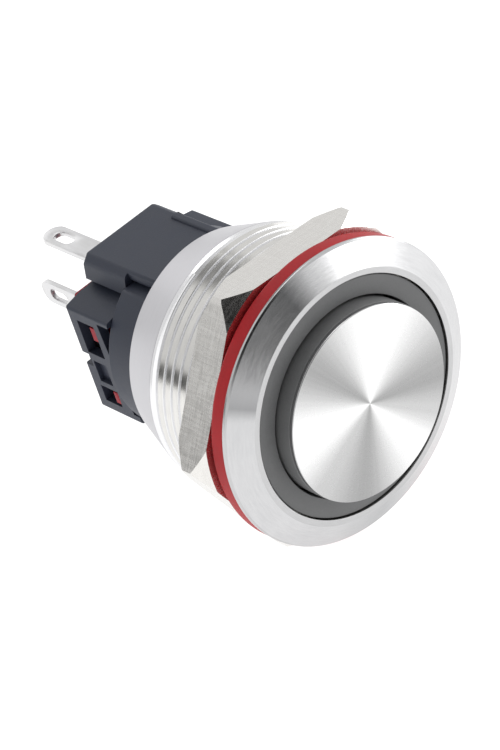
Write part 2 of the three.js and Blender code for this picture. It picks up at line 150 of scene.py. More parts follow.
def turningLines(tree, along=9, fine=5200):
    # long thin streaks that run round the button's axis, as a lathe leaves them
    parts = addNode(tree, "ShaderNodeSeparateXYZ", Vector=place(tree))
    x, y, z = parts.outputs
    squares = calc(tree, "ADD", calc(tree, "MULTIPLY", x, x), calc(tree, "MULTIPLY", z, z))
    radius = calc(tree, "SQRT", squares)
    safe = calc(tree, "ADD", radius, 0.00001)
    ring = addNode(tree, "ShaderNodeCombineXYZ",
                   X=calc(tree, "MULTIPLY", calc(tree, "DIVIDE", x, safe), along),
                   Y=calc(tree, "MULTIPLY", calc(tree, "DIVIDE", z, safe), along),
                   Z=calc(tree, "MULTIPLY", radius, fine))
    return noise(tree, ring.outputs[0], 1, 4, 0.6, calc(tree, "MULTIPLY", y, fine))


def bump(tree, shader, height, strength, distance):
    made = addNode(tree, "ShaderNodeBump", Height=height, Strength=strength, Distance=distance)
    tree.links.new(made.outputs[0], shader.inputs["Normal"])


def roundTangent(tree, shader):
    made = addNode(tree, "ShaderNodeTangent", {"direction_type": "RADIAL", "axis": "Y"})
    tree.links.new(made.outputs[0], shader.inputs["Tangent"])


# finishes; the fan lists are pairs of degrees round the axis and the painted brightness of the metal there:
# painted highlights and painted dark reflections
turnedLooks = {
    "threadSteel": {"colour": (0.78, 0.77, 0.745), "dark": (0.66, 0.65, 0.63), "roughness": 0.16, "metal": 1,
                    "brushed": 0.2, "lines": 0.18},
    "satinBevel": {"colour": (0.67, 0.67, 0.675), "dark": (0.58, 0.58, 0.59), "roughness": 0.22, "metal": 1,
                   "brushed": 0.15, "lines": 0.1, "shade": (0.015, 0.018, 0.022),
                   # painted reflections on the bevel: brightness fixed round the axis, with painted dark
                   # reflections at 104 and 149 degrees
                   "paintedReflections": [(-180, 0.96), (-150, 1), (-120, 0.95), (-92, 0.68), (-60, 0.9), (0, 0.92),
                            (40, 1), (92, 1), (104, 0.42), (118, 0.85), (133, 1), (149, 0.52),
                            (154, 0.93), (180, 0.96)]},
    "brightLip": {"colour": (0.58, 0.58, 0.585), "dark": (0.50, 0.50, 0.505), "roughness": 0.22, "metal": 1,
                  "brushed": 0.2, "lines": 0.06},
    # a brighter copy of the thread steel, painted highlight on the thread's flanks
    "paintedFlankHighlight": {"colour": (0.88, 0.88, 0.89), "dark": (0.80, 0.80, 0.81), "roughness": 0.22, "metal": 1,
                    "brushed": 0.2, "lines": 0.06},
    "frostedTail": {"colour": (0.575, 0.57, 0.59), "dark": (0.50, 0.495, 0.515), "roughness": 0.38,
                    "metal": 1, "brushed": 0.1, "lines": 0.08},
}


def paintedReflectionLevel(tree, paintedReflections, shape):
    # painted highlights and painted reflections: a brightness that changes round the button's axis, fixed to
    # the part
    parts = addNode(tree, "ShaderNodeSeparateXYZ", Vector=place(tree))
    angle = calc(tree, "ARCTAN2", parts.outputs["Z"], parts.outputs["X"])
    share = calc(tree, "ADD", calc(tree, "DIVIDE", angle, 2 * math.pi), 0.5)
    ramp = addNode(tree, "ShaderNodeValToRGB", Fac=share)
    ramp.color_ramp.interpolation = shape
    points = ramp.color_ramp.elements
    for point, (degrees, level) in zip(points, (paintedReflections[0], paintedReflections[-1])):
        point.color = (level, level, level, 1)
    for degrees, level in paintedReflections[1:-1]:
        point = points.new((degrees + 180) / 360)
        point.color = (level, level, level, 1)
    return ramp.outputs[0]


def turnedMetal(name):
    look = turnedLooks[name]
    made, tree, shader = startMaterial(name, look)
    lines = turningLines(tree)
    blotch = noise(tree, place(tree), 260, 3)
    mixed = calc(tree, "ADD", calc(tree, "MULTIPLY", lines, 0.6), calc(tree, "MULTIPLY", blotch, 0.4))
    tone = mixColour(tree, spread(tree, mixed, 1, 0), look["colour"], look["dark"])
    # painted reflections: the base colour goes towards the shade colour round the axis
    if "paintedReflections" in look:
        tone = mixColour(tree, paintedReflectionLevel(tree, look["paintedReflections"], "LINEAR"), look["shade"], tone)
    tree.links.new(tone, shader.inputs["Base Color"])
    tree.links.new(spread(tree, mixed, look["roughness"] * 0.8, look["roughness"] * 1.25),
                   shader.inputs["Roughness"])
    speck = noise(tree, place(tree), 9000, 2)
    height = calc(tree, "ADD", calc(tree, "MULTIPLY", lines, 0.7), calc(tree, "MULTIPLY", speck, 0.3))
    bump(tree, shader, height, look["lines"], 0.00002)
    roundTangent(tree, shader)
    return made


capLook = {
    "colour": (0.95, 0.95, 0.95),
    "shade": (0.30, 0.30, 0.30),
    "roughness": 0.3,
    "metal": 1,
    "brushed": 0.55,
    # painted highlights and painted dark reflections round the cap, as fans
    "paintedReflections": [(-180, 0.9), (-150, 0.4), (-114, 0.12), (-62, 1), (-40, 0.4), (-18, 0.1), (58, 1), (70, 1),
             (123, 0.1), (167, 1), (180, 0.9)],
}


def spunCapSteel(look):
    made, tree, shader = startMaterial("spunCapSteel", look)
    parts = addNode(tree, "ShaderNodeSeparateXYZ", Vector=place(tree))
    x, y, z = parts.outputs
    squares = calc(tree, "ADD", calc(tree, "MULTIPLY", x, x), calc(tree, "MULTIPLY", z, z))
    radius = calc(tree, "SQRT", squares)
    safe = calc(tree, "ADD", radius, 0.00001)
    ray = addNode(tree, "ShaderNodeCombineXYZ",
                  X=calc(tree, "DIVIDE", x, safe), Y=calc(tree, "DIVIDE", z, safe))
    streak = noise(tree, ray.outputs[0], 26, 3)  # painted narrow rays of highlight from the middle of the cap
    lines = turningLines(tree, 14, 7000)
    # painted highlights: the fans and rays set the base colour between the shade and the bright steel
    level = calc(tree, "ADD", paintedReflectionLevel(tree, look["paintedReflections"], "EASE"), spread(tree, streak, -0.02, 0.02))
    level = calc(tree, "ADD", level, spread(tree, lines, -0.01, 0.01))
    tree.links.new(mixColour(tree, level, look["shade"], look["colour"]), shader.inputs["Base Color"])
    tree.links.new(spread(tree, lines, look["roughness"] * 0.8, look["roughness"] * 1.2),
                   shader.inputs["Roughness"])
    bump(tree, shader, lines, 0.02, 0.00001)
    roundTangent(tree, shader)
    return made


nutLook = {"colour": (0.80, 0.785, 0.76), "dark": (0.73, 0.715, 0.69), "roughness": 0.23, "metal": 1}


def brushedNickel(look):
    made, tree, shader = startMaterial("brushedNickel", look)
    across = addNode(tree, "ShaderNodeMapping", Vector=place(tree), Scale=(600, 5200, 600))
    down = addNode(tree, "ShaderNodeMapping", Vector=place(tree), Scale=(5200, 350, 5200))
    first = noise(tree, across.outputs[0], 1, 3)
    second = noise(tree, down.outputs[0], 1, 3)
    marks = calc(tree, "ADD", calc(tree, "MULTIPLY", first, 0.55), calc(tree, "MULTIPLY", second, 0.45))
    tree.links.new(mixColour(tree, spread(tree, marks, 1, 0, 0.35, 0.65), look["colour"], look["dark"]),
                   shader.inputs["Base Color"])
    tree.links.new(spread(tree, marks, look["roughness"] * 0.85, look["roughness"] * 1.4),
                   shader.inputs["Roughness"])
    bump(tree, shader, marks, 0.06, 0.00002)
    return made


mouldedLooks = {
    "slatePlastic": {"colour": (0.030, 0.037, 0.060), "dark": (0.023, 0.028, 0.046), "roughness": 0.5,
                     "grain": 0.3, "size": 5200},
    "charcoalRing": {"colour": (0.180, 0.182, 0.184), "dark": (0.140, 0.142, 0.144), "roughness": 0.5,
                     "grain": 0.25, "size": 6000},
    "redPlastic": {"colour": (0.34, 0.003, 0.016), "dark": (0.27, 0.002, 0.012), "roughness": 0.38,
                   "grain": 0.12, "size": 5000, "gloss": 0.15},
    "redSilicone": {"colour": (0.47, 0.012, 0.018), "dark": (0.35, 0.008, 0.012), "roughness": 0.5,
                    "grain": 0.2, "size": 4000, "gloss": 0.25},
    "blackRubber": {"colour": (0.014, 0.014, 0.015), "dark": (0.009, 0.009, 0.010), "roughness": 0.7,
                    "grain": 0.3, "size": 5000},
}


def moulded(name):
    look = mouldedLooks[name]
    made, tree, shader = startMaterial(name, look)
    cloudy = noise(tree, place(tree), 420, 4)
    fine = noise(tree, place(tree), look["size"], 3, 0.6)
    mixed = calc(tree, "ADD", calc(tree, "MULTIPLY", cloudy, 0.5), calc(tree, "MULTIPLY", fine, 0.5))
    tree.links.new(mixColour(tree, spread(tree, mixed, 1, 0), look["colour"], look["dark"]),
                   shader.inputs["Base Color"])
    tree.links.new(spread(tree, mixed, look["roughness"] * 0.85, look["roughness"] * 1.15),
                   shader.inputs["Roughness"])
    bump(tree, shader, fine, look["grain"], 0.00003)
    return made


plainMetalLooks = {
    "tinnedBrass": {"colour": (0.74, 0.74, 0.75), "dark": (0.68, 0.675, 0.675), "roughness": 0.36},
    "contactBrass": {"colour": (0.80, 0.58, 0.26), "dark": (0.66, 0.45, 0.18), "roughness": 0.34},
    "contactSilver": {"colour": (0.90, 0.89, 0.86), "dark": (0.78, 0.77, 0.74), "roughness": 0.28},
    "springSteel": {"colour": (0.62, 0.62, 0.63), "dark": (0.5, 0.5, 0.5), "roughness": 0.3},
    "screwSteel": {"colour": (0.70, 0.70, 0.70), "dark": (0.55, 0.55, 0.54), "roughness": 0.3},
}


def plainMetal(name):
    look = {**plainMetalLooks[name], "metal": 1}
    made, tree, shader = startMaterial(name, look)
    drawn = addNode(tree, "ShaderNodeMapping", Vector=place(tree), Scale=(2600, 500, 2600))
    marks = noise(tree, drawn.outputs[0], 1, 3)
    cloudy = noise(tree, place(tree), 700, 3)
    mixed = calc(tree, "ADD", calc(tree, "MULTIPLY", marks, 0.5), calc(tree, "MULTIPLY", cloudy, 0.5))
    tree.links.new(mixColour(tree, spread(tree, mixed, 1, 0), look["colour"], look["dark"]),
                   shader.inputs["Base Color"])
    tree.links.new(spread(tree, mixed, look["roughness"] * 0.75, look["roughness"] * 1.3),
                   shader.inputs["Roughness"])
    bump(tree, shader, mixed, 0.05, 0.00002)
    return made


finish = {name: turnedMetal(name) for name in turnedLooks}
finish.update({name: moulded(name) for name in mouldedLooks})
finish.update({name: plainMetal(name) for name in plainMetalLooks})
finish["spunCapSteel"] = spunCapSteel(capLook)
finish["brushedNickel"] = brushedNickel(nutLook)
print("finishes made:", len(finish))


# mesh helpers
def spinOutline(outline, steps=192, closed=True):
    made = bmesh.new()
    points = [made.verts.new((radius, y, 0)) for radius, y in outline]
    pairs = list(zip(points, points[1:] + points[:1]))
    edges = [made.edges.new(pair) for pair in (pairs if closed else pairs[:-1])]
    bmesh.ops.spin(made, geom=points + edges, cent=(0, 0, 0), axis=(0, 1, 0), dvec=(0, 0, 0),
                   angle=2 * math.pi, steps=steps, use_merge=True, use_duplicate=False)
    bmesh.ops.remove_doubles(made, verts=made.verts, dist=0.001)
    bmesh.ops.recalc_face_normals(made, faces=made.faces)
    return made


def bevelSharp(made, width, segments=2, degrees=25, only=None):
    chosen = [edge for edge in made.edges
              if edge.is_manifold and edge.calc_face_angle(0) > math.radians(degrees)]
    chosen = [edge for edge in chosen if only is None or only(edge)]
    bmesh.ops.bevel(made, geom=chosen, offset=width, offset_type="OFFSET", affect="EDGES", segments=segments,
                    profile=0.5, material=-1, clamp_overlap=True, loop_slide=True)


def finishPiece(name, made, body, materials, stands=(), soft=7, pick=None, even=False):
    bmesh.ops.remove_doubles(made, verts=made.verts, dist=0.0005)
    bmesh.ops.recalc_face_normals(made, faces=made.faces)
    for face in made.faces:
        face.smooth = len(face.verts) < 12  # large flat faces stay flat
        if pick:
            face.material_index = pick(face)
    bmesh.ops.scale(made, vec=(0.001, 0.001, 0.001), verts=made.verts)
    mesh = bpy.data.meshes.new(name)
    made.to_mesh(mesh)
    made.free()
    mesh.set_sharp_from_angle(angle=math.radians(soft))
    piece = bpy.data.objects.new(name, mesh)
    scene.collection.objects.link(piece)
    for material in materials:
        mesh.materials.append(finish[material])
    if even:
        weighted = piece.modifiers.new("evenNormals", "WEIGHTED_NORMAL")
        weighted.keep_sharp = True
    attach(piece, body)
    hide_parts(*stands)
    return piece


def meltedCopy(node):
    # the node's own shape with its triangles joined into whole faces, in millimetres
    made = bmesh.new()
    made.from_mesh(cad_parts[node].data)
    bmesh.ops.scale(made, vec=(1000, 1000, 1000), verts=made.verts)
    bmesh.ops.remove_doubles(made, verts=made.verts, dist=0.002)
    bmesh.ops.dissolve_limit(made, angle_limit=math.radians(1), verts=made.verts, edges=made.edges)
    bmesh.ops.recalc_face_normals(made, faces=made.faces)
    return made


def addBlock(made, low, high):
    size = [b - a for a, b in zip(low, high)]
    middle = [(a + b) / 2 for a, b in zip(low, high)]
    shape = Matrix.Translation(middle) @ Matrix.Diagonal((*size, 1))
    return bmesh.ops.create_cube(made, size=1, matrix=shape)["verts"]


halfTurn = Matrix.Rotation(math.pi, 3, "Y")


# barrel with its head and thread
barrelSize = {
    "bore": 11.2, "lip": 11.75, "lipFront": -1.56, "rim": 14.1, "rimFront": -0.4, "rimBreak": 0.15,
    "relief": 11.85, "reliefRear": 1.0, "core": 11.95, "edge": 0.05,
    "crest": 12.5, "groove": 12.18, "grooved": (1.3, 11.3), "land": 0.64, "pitch": 1.0, "threadFront": 1.4,
    "threadRear": 11.1, "ridge": 0.92, "crestBreak": (0.04, 0.03), "runOut": 0.5, "sunk": 0.15,
    "stepsPerTurn": 144,
    "tailFront": 11.66, "tailRear": 16.48, "tailStart": 12.3, "tail": 10.6, "tailBore": 9.8,
    "web": (9.5, 11.3), "stemHole": 2.7, "guideBore": 10.2, "ringDepth": 2.2,
}


def makeBarrel(size):
    rimRadius, rimFront = size["rim"], size["rimFront"]
    webFront, webRear = size["web"]
    outline = [
        (size["bore"], size["lipFront"]), (size["lip"], size["lipFront"]),
        (rimRadius - size["rimBreak"], rimFront), (rimRadius, rimFront + size["rimBreak"]), (rimRadius, 0),
        (size["relief"], 0), (size["relief"], size["reliefRear"]), (size["core"], size["reliefRear"] + 0.1),
        (size["groove"], size["grooved"][0]), (size["groove"], size["grooved"][1]),
        (size["tailStart"], size["tailFront"]), (size["tail"], size["tailRear"]),
        (size["tailBore"], size["tailRear"]), (size["tailBore"], webRear), (size["stemHole"], webRear),
        (size["stemHole"], webFront), (size["guideBore"], webFront), (size["guideBore"], size["ringDepth"]),
        (size["bore"], size["ringDepth"]),
    ]
    made = spinOutline(outline, 240)
    bevelSharp(made, size["edge"], 2, 20)
    addThread(made, size)

    def pick(face):
        centre = face.calc_center_median()
        radius = math.hypot(centre.x, centre.z)
        if centre.y < 0 and radius > size["lip"] + 0.05 and centre.y < size["rimFront"] + 0.02:
            return 1
        if centre.y < 0.05 and radius > size["bore"] - 0.05:
            return 2
        if centre.y > size["tailFront"] - 0.1 and radius > size["tailBore"]:
            return 3
        if size["core"] - 0.2 < radius < size["crest"] - 0.01 and 1.1 < centre.y < size["tailFront"]:
            return 4  # painted highlight: the flanks of the thread get a brighter copy of the steel
        return 0

    metals = ["threadSteel", "satinBevel", "brightLip", "frostedTail", "paintedFlankHighlight"]
    return finishPiece("barrelShell", made, "body", metals, ["barrel"], pick=pick)


def addThread(made, size):
    # one closed ridge wound right-handed round the barrel, sunk in at both ends
    stepsPerTurn = size["stepsPerTurn"]
    half = size["pitch"] * size["ridge"] / 2
    front, rear = size["threadFront"], size["threadRear"]
    turns = (rear - front) / size["pitch"]
    land = size["land"] / 2
    down, out = size["crestBreak"]
    root = size["groove"] - size["sunk"]
    section = [(root, -half), (size["groove"], -half), (size["crest"] - down, -land - out),
               (size["crest"], -land), (size["crest"], land), (size["crest"] - down, land + out),
               (size["groove"], half), (root, half)]
    points = [made.verts.new((radius, front + y, 0)) for radius, y in section]
    loop = [made.edges.new(pair) for pair in zip(points, points[1:] + points[:1])]
    cap = made.faces.new(points)
    before = set(made.verts)
    steps = round(turns * stepsPerTurn)
    bmesh.ops.spin(made, geom=points + loop + [cap], cent=(0, 0, 0), axis=(0, 1, 0),
                   dvec=(0, size["pitch"] / stepsPerTurn, 0), angle=2 * math.pi * steps / stepsPerTurn,
                   steps=steps, use_merge=False, use_duplicate=False)
    ridge = [vert for vert in made.verts if vert not in before] + points
    for vert in ridge:
        radius = math.hypot(vert.co.x, vert.co.z)
        fade = min((vert.co.y - front + half) / size["runOut"], (rear + half - vert.co.y) / size["runOut"], 1)
        hidden = size["groove"] - 0.1
        lowered = min(radius, hidden + (size["crest"] - hidden) * max(fade, 0))
        vert.co.x *= lowered / radius
        vert.co.z *= lowered / radius


makeBarrel(barrelSize)
print("barrel made")


# guide ring, button and gasket
ringSize = {"inner": 9.28, "outer": 11.08, "front": -1.36, "rear": 0.7}
capSize = {"radius": 9.0, "front": -3.24, "rear": -2.84, "spigot": 1.5, "spigotRear": -1.84}
carrierSize = {
    "front": -2.84, "radius": 9.05, "socket": 1.8, "socketRear": -1.54, "collar": (2.2, 3.2),
    "collarRadius": 9.85, "wall": 1.15, "plate": -1.09, "stem": 2.4, "groove": (11.65, 12.35),
    "grooveRadius": 1.9, "stemEnd": 19.8,
}
gasketSize = {"bore": 12.8, "radius": 14.08, "front": 0.01, "rear": 1.88, "slope": (0.55, 0.5)}


def makeGuideRing(size):
    made = spinOutline([(size["inner"], size["front"]), (size["outer"], size["front"]),
                        (size["outer"], size["rear"]), (size["inner"], size["rear"])])
    bevelSharp(made, 0.08, 3)
    return finishPiece("guideRingFace", made, "body", ["charcoalRing"], ["guide_ring"])


def makeCap(size):
    made = spinOutline([(0, size["front"]), (size["radius"], size["front"]), (size["radius"], size["rear"]),
                        (size["spigot"], size["rear"]), (size["spigot"], size["spigotRear"]),
                        (0, size["spigotRear"])], 256, closed=False)
    bevelSharp(made, 0.09, 3)
    return finishPiece("spunCap", made, "button", ["spunCapSteel", "brightLip"], ["button_cap"],
                       pick=lambda face: 0 if face.normal.y < -0.95 else 1)


def makeCarrier(size):
    front, radius, inner = size["front"], size["radius"], size["radius"] - size["wall"]
    made = spinOutline([
        (0, size["socketRear"]), (size["socket"], size["socketRear"]), (size["socket"], front),
        (radius, front), (radius, size["collar"][0]), (size["collarRadius"], size["collar"][0]),
        (size["collarRadius"], size["collar"][1]), (inner, size["collar"][1]), (inner, size["plate"]),
        (size["stem"], size["plate"]), (size["stem"], size["groove"][0]),
        (size["grooveRadius"], size["groove"][0]), (size["grooveRadius"], size["groove"][1]),
        (size["stem"], size["groove"][1]),
        (size["stem"], size["stemEnd"]), (0, size["stemEnd"])], closed=False)
    bevelSharp(made, 0.06, 2)
    return finishPiece("buttonCarrier", made, "button", ["charcoalRing"], ["cap_carrier"])


def makeGasket(size):
    made = spinOutline([(size["bore"], size["front"]), (size["radius"], size["front"]),
                        (size["radius"], size["rear"] - size["slope"][1]),
                        (size["radius"] - size["slope"][0], size["rear"]),
                        (size["bore"], size["rear"])])
    bevelSharp(made, 0.14, 4, 20, lambda edge: edge.verts[0].co.y > size["front"] + 0.1)
    return finishPiece("gasketRing", made, "gasket", ["redSilicone"], ["panel_gasket"],
                       soft=20)


makeGuideRing(ringSize)
makeCap(capSize)
makeCarrier(carrierSize)
makeGasket(gasketSize)
print("button and gasket made")


# panel nut
nutSize = {"flats": 26.8, "bore": 12.62, "front": 1.9, "rear": 5.5, "foot": 1.1, "edgeFront": 3.4,
           "edgeRear": 4.4, "turn": 56.5}


def makeNut(size):
    # a round blank whose wall is drawn in to the six flats, so the flats cut leaf shapes out of its cones
    corner = size["flats"] / math.sqrt(3)
    foot = corner - size["foot"]
    made = spinOutline([(size["bore"], size["front"]), (foot, size["front"]), (corner, size["edgeFront"]),
                        (corner, size["edgeRear"]), (foot, size["rear"]), (size["bore"], size["rear"])], 288)
    for vert in made.verts:
        radius = math.hypot(vert.co.x, vert.co.z)
        if radius < foot - 0.01:
            continue
        turn = math.degrees(math.atan2(vert.co.z, vert.co.x))
        across = size["flats"] / 2 / math.cos(math.radians((turn - size["turn"]) % 60 - 30))
        wanted = min(across, radius)
        if radius > foot + 0.01:
            share = max((across - foot) / (corner - foot), 0)
            if vert.co.y < (size["front"] + size["rear"]) / 2:
                vert.co.y = size["front"] + (size["edgeFront"] - size["front"]) * share
            else:
                vert.co.y = size["rear"] + (size["edgeRear"] - size["rear"]) * share
        vert.co.x *= wanted / radius
        vert.co.z *= wanted / radius
    bmesh.ops.remove_doubles(made, verts=made.verts, dist=0.002)
    bmesh.ops.recalc_face_normals(made, faces=made.faces)
    return finishPiece("hexNut", made, "nut", ["brushedNickel"], ["panel_nut"], soft=14)


makeNut(nutSize)
print("nut made")


# contact block
baseSize = {"radius": 9.5, "front": 14.35, "rear": 20.75, "bore": 2.75, "hubBore": 4.1, "hubFront": 18.2,
            "flat": 7.85, "flatFront": 16.9, "edge": 0.12}
housingSize = {"rounding": 0.8, "smallRounding": 0.07, "wingEdge": 8.1, "towerEdge": 8.4, "rearFace": 26.6}


def makeBase(size):
    made = spinOutline([(size["bore"], size["flatFront"]), (size["radius"], size["flatFront"]),
                        (size["radius"], size["rear"]), (size["hubBore"], size["rear"]),
                        (size["hubBore"], size["hubFront"]), (size["bore"], size["hubFront"])])
    for side in (1, -1):
        cut = bmesh.ops.bisect_plane(made, geom=made.verts[:] + made.edges[:] + made.faces[:], dist=0.0001,
                                     plane_co=(0, 0, side * size["flat"]), plane_no=(0, 0, side),
                                     clear_outer=True)
        rim = [part for part in cut["geom_cut"] if isinstance(part, bmesh.types.BMEdge)]
        bmesh.ops.contextual_create(made, geom=rim)
    bevelSharp(made, size["edge"], 3)
    plug = spinOutline([(size["bore"], size["front"]), (size["radius"], size["front"]),
                        (size["radius"], size["flatFront"] + 0.01), (size["bore"], size["flatFront"] + 0.01)])
    bevelSharp(plug, size["edge"], 3)
    carried = bpy.data.meshes.new("plug")
    plug.to_mesh(carried)
    plug.free()
    made.from_mesh(carried)
    bpy.data.meshes.remove(carried)
    return finishPiece("basePlug", made, "body", ["slatePlastic"], ["mounting_base"],
                       soft=30, even=True)


def makeHousing(size):
    made = meltedCopy("contact_housing")
    wide, high, rear = size["wingEdge"], size["towerEdge"], size["rearFace"]

    def outer(edge):
        middle = (edge.verts[0].co + edge.verts[1].co) / 2
        along = abs(edge.verts[0].co.y - edge.verts[1].co.y) > edge.calc_length() * 0.9
        corner = (abs(middle.x) > wide or abs(middle.z) > high) and along and edge.calc_length() > 3
        back = middle.y > rear and (abs(middle.x) > wide or abs(middle.z) > high) and not along
        return edge.is_convex and (corner or back)

    bevelSharp(made, size["rounding"], 4, 20, outer)
    bevelSharp(made, size["smallRounding"], 2, 35)
    return finishPiece("blockHousing", made, "body", ["slatePlastic"], ["contact_housing"],
                       soft=30, even=True)


makeBase(baseSize)
makeHousing(housingSize)
print("contact block made")


# lugs
lugSize = {"width": 2.5, "thickness": 0.5, "end": 35.2, "hole": 1.24, "holeInset": 1.9, "slot": 1.3,
           "front": 25.72, "edge": 0.06, "upper": (-2.4, 7.5), "left": (-4.85, 2.7),
           "upperFoot": ((-1.25, 24.4, -1.0), (3.4, 24.9, 0.2)),  # measured from the lug's own middle line
           "upperNeck": ((-1.25, 24.6, -0.24), (1.25, 25.82, 0.24)),
           "leftFoot": ((-1.0, 22, -3.6), (0.75, 22.5, -0.4)),
           "leftNeck": ((-0.24, 22.2, -1.24), (0.24, 25.82, -0.36))}


def lugPlate(size):
    # a long hole with a round tip behind it and square shoulders in front, then the blade to the block
    half, hole = size["width"] / 2, size["hole"] / 2
    tip = size["end"] - size["holeInset"]
    reach = size["end"] - half - tip  # how far the tip's own middle lies behind the hole's
    made = bmesh.new()
    rib = [made.verts.new((hole, tip, 0)), made.verts.new((half, tip, 0))]
    edge = made.edges.new(rib)
    bmesh.ops.spin(made, geom=rib + [edge], cent=(0, tip, 0), axis=(0, 0, 1), dvec=(0, 0, 0), angle=math.pi,
                   steps=28, use_merge=False, use_duplicate=False)
    for vert in made.verts:
        if math.hypot(vert.co.x, vert.co.y - tip) > half - 0.01 and vert.co.y > tip + 0.001:
            vert.co.y += reach
    start = tip - size["slot"]
    rib = [made.verts.new((-hole, start, 0)), made.verts.new((-half, start, 0))]
    edge = made.edges.new(rib)
    bmesh.ops.spin(made, geom=rib + [edge], cent=(0, start, 0), axis=(0, 0, 1), dvec=(0, 0, 0), angle=math.pi,
                   steps=28, use_merge=False, use_duplicate=False)
    for vert in made.verts:
        offset = vert.co - Vector((0, start, 0))
        if offset.y < 0.001 and offset.length > half - 0.01:
            vert.co = Vector((0, start, 0)) + offset * (half / max(abs(offset.x), abs(offset.y)))
    for side in (1, -1):
        ends = sorted((vert for vert in made.verts if vert.co.x * side > 0 and
                       (abs(vert.co.y - tip) < 0.001 or abs(vert.co.y - start) < 0.001)),
                      key=lambda vert: (vert.co.y > tip - 0.001, abs(vert.co.x)))
        ends = [vert for vert in ends
                if abs(abs(vert.co.x) - hole) < 0.01 or abs(abs(vert.co.x) - half) < 0.01]
        made.faces.new((ends[0], ends[1], ends[3], ends[2]))
    shoulder = [edge for edge in made.edges
                if all(abs(vert.co.y - (start - half)) < 0.001 for vert in edge.verts)]
    blade = bmesh.ops.extrude_edge_only(made, edges=shoulder)["geom"]
    bmesh.ops.translate(made, vec=(0, size["front"] - (start - half), 0),
                        verts=[part for part in blade if isinstance(part, bmesh.types.BMVert)])
    sheet = bmesh.ops.extrude_face_region(made, geom=made.faces[:])["geom"]
    bmesh.ops.translate(made, vec=(0, 0, size["thickness"]),
                        verts=[part for part in sheet if isinstance(part, bmesh.types.BMVert)])
    bmesh.ops.translate(made, vec=(0, 0, -size["thickness"] / 2), verts=made.verts)
    bmesh.ops.recalc_face_normals(made, faces=made.faces)
    bevelSharp(made, size["edge"], 2, 40)
    return made


def makeTerminal(name, node, size, opposite=False):
    made = lugPlate(size)
    upper = "upper" in name or "lower" in name
    x, z = size["upper"] if upper else size["left"]
    if not upper:
        bmesh.ops.rotate(made, cent=(0, 0, 0), matrix=Matrix.Rotation(math.pi / 2, 3, "Y"), verts=made.verts)
    for part in ("upperFoot", "upperNeck") if upper else ("leftFoot", "leftNeck"):
        addBlock(made, *size[part])
    bmesh.ops.translate(made, vec=(x, 0, z), verts=made.verts)
    if opposite:
        bmesh.ops.rotate(made, cent=(0, 0, 0), matrix=halfTurn, verts=made.verts)
    return finishPiece(name, made, "body", ["tinnedBrass"], [node], soft=25)


makeTerminal("upperLug", "upper_terminal", lugSize)
makeTerminal("lowerLug", "lower_terminal", lugSize, True)
makeTerminal("leftLug", "left_terminal", lugSize)
makeTerminal("rightLug", "right_terminal", lugSize, True)
print("lugs made")


# insulators, screws, plunger and return spring
insulatorSize = {"half": 1.25, "height": 2.6, "front": 26.72, "rear": 28.2, "rounding": 0.18, "rim": 0.55,
                 "dish": 0.35}
screwSize = {"head": 1.5, "shank": 0.8, "front": 17.2, "seat": 26.72, "crown": 27.75, "slot": 0.22,
             "depth": 0.4, "x": 2.9, "z": 6.4, "rim": 0.5, "shoulder": (1.15, 0.12), "crownFlat": 0.6,
             "edge": 0.04}
plungerSize = {"edge": 0.1}


def makeInsulator(name, node, size, opposite=False):
    made = bmesh.new()
    x, z = lugSize["left"]
    addBlock(made, (x - size["half"], size["front"], z - size["height"]),
             (x + size["half"], size["rear"], z + size["height"]))
    back = [face for face in made.faces if face.normal.y > 0.9]
    bmesh.ops.inset_region(made, faces=back, thickness=size["rim"], depth=0)
    dished = {vert for face in back for vert in face.verts}
    bmesh.ops.translate(made, vec=(0, -size["dish"], 0), verts=list(dished))
    bevelSharp(made, size["rounding"], 4, 40)
    if opposite:
        bmesh.ops.rotate(made, cent=(0, 0, 0), matrix=halfTurn, verts=made.verts)
    return finishPiece(name, made, "body", ["redPlastic"], [node], soft=30, even=True)


def makeScrew(name, node, size, opposite=False):
    outline = [(0, size["front"]), (size["shank"], size["front"]), (size["shank"], size["seat"]),
               (size["head"], size["seat"]), (size["head"], size["seat"] + size["rim"]),
               (size["shoulder"][0], size["crown"] - size["shoulder"][1]), (size["crownFlat"], size["crown"]),
               (0, size["crown"])]
    made = spinOutline(outline, 48, closed=False)
    for side in (1, -1):
        bmesh.ops.bisect_plane(made, geom=made.verts[:] + made.edges[:] + made.faces[:], dist=0.0001,
                               plane_co=(0, 0, side * size["slot"]), plane_no=(0, 0, side))
    floor = [face for face in made.faces if face.normal.y > 0.3
             and abs(face.calc_center_median().z) < size["slot"]
             and face.calc_center_median().y > size["seat"]]
    sunk = bmesh.ops.extrude_face_region(made, geom=floor)["geom"]
    for vert in [part for part in sunk if isinstance(part, bmesh.types.BMVert)]:
        vert.co.y = size["crown"] - size["depth"]
    bmesh.ops.delete(made, geom=floor, context="FACES")
    bevelSharp(made, size["edge"], 2, 50)
    bmesh.ops.translate(made, vec=(size["x"], 0, size["z"]), verts=made.verts)
    if opposite:
        bmesh.ops.rotate(made, cent=(0, 0, 0), matrix=halfTurn, verts=made.verts)
    return finishPiece(name, made, "body", ["screwSteel"], [node], soft=25)


def makePlunger(size):
    made = meltedCopy("plunger")
    bevelSharp(made, size["edge"], 2, 40)
    return finishPiece("plungerArms", made, "button", ["redPlastic"], ["plunger"], soft=30,
                       even=True)


def makeReturnSpring():
    made = bmesh.new()
    made.from_mesh(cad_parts["return_spring"].data)
    bmesh.ops.scale(made, vec=(1000, 1000, 1000), verts=made.verts)
    piece = finishPiece("returnCoil", made, "body", ["springSteel"], ["return_spring"],
                        soft=60)
    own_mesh(piece)


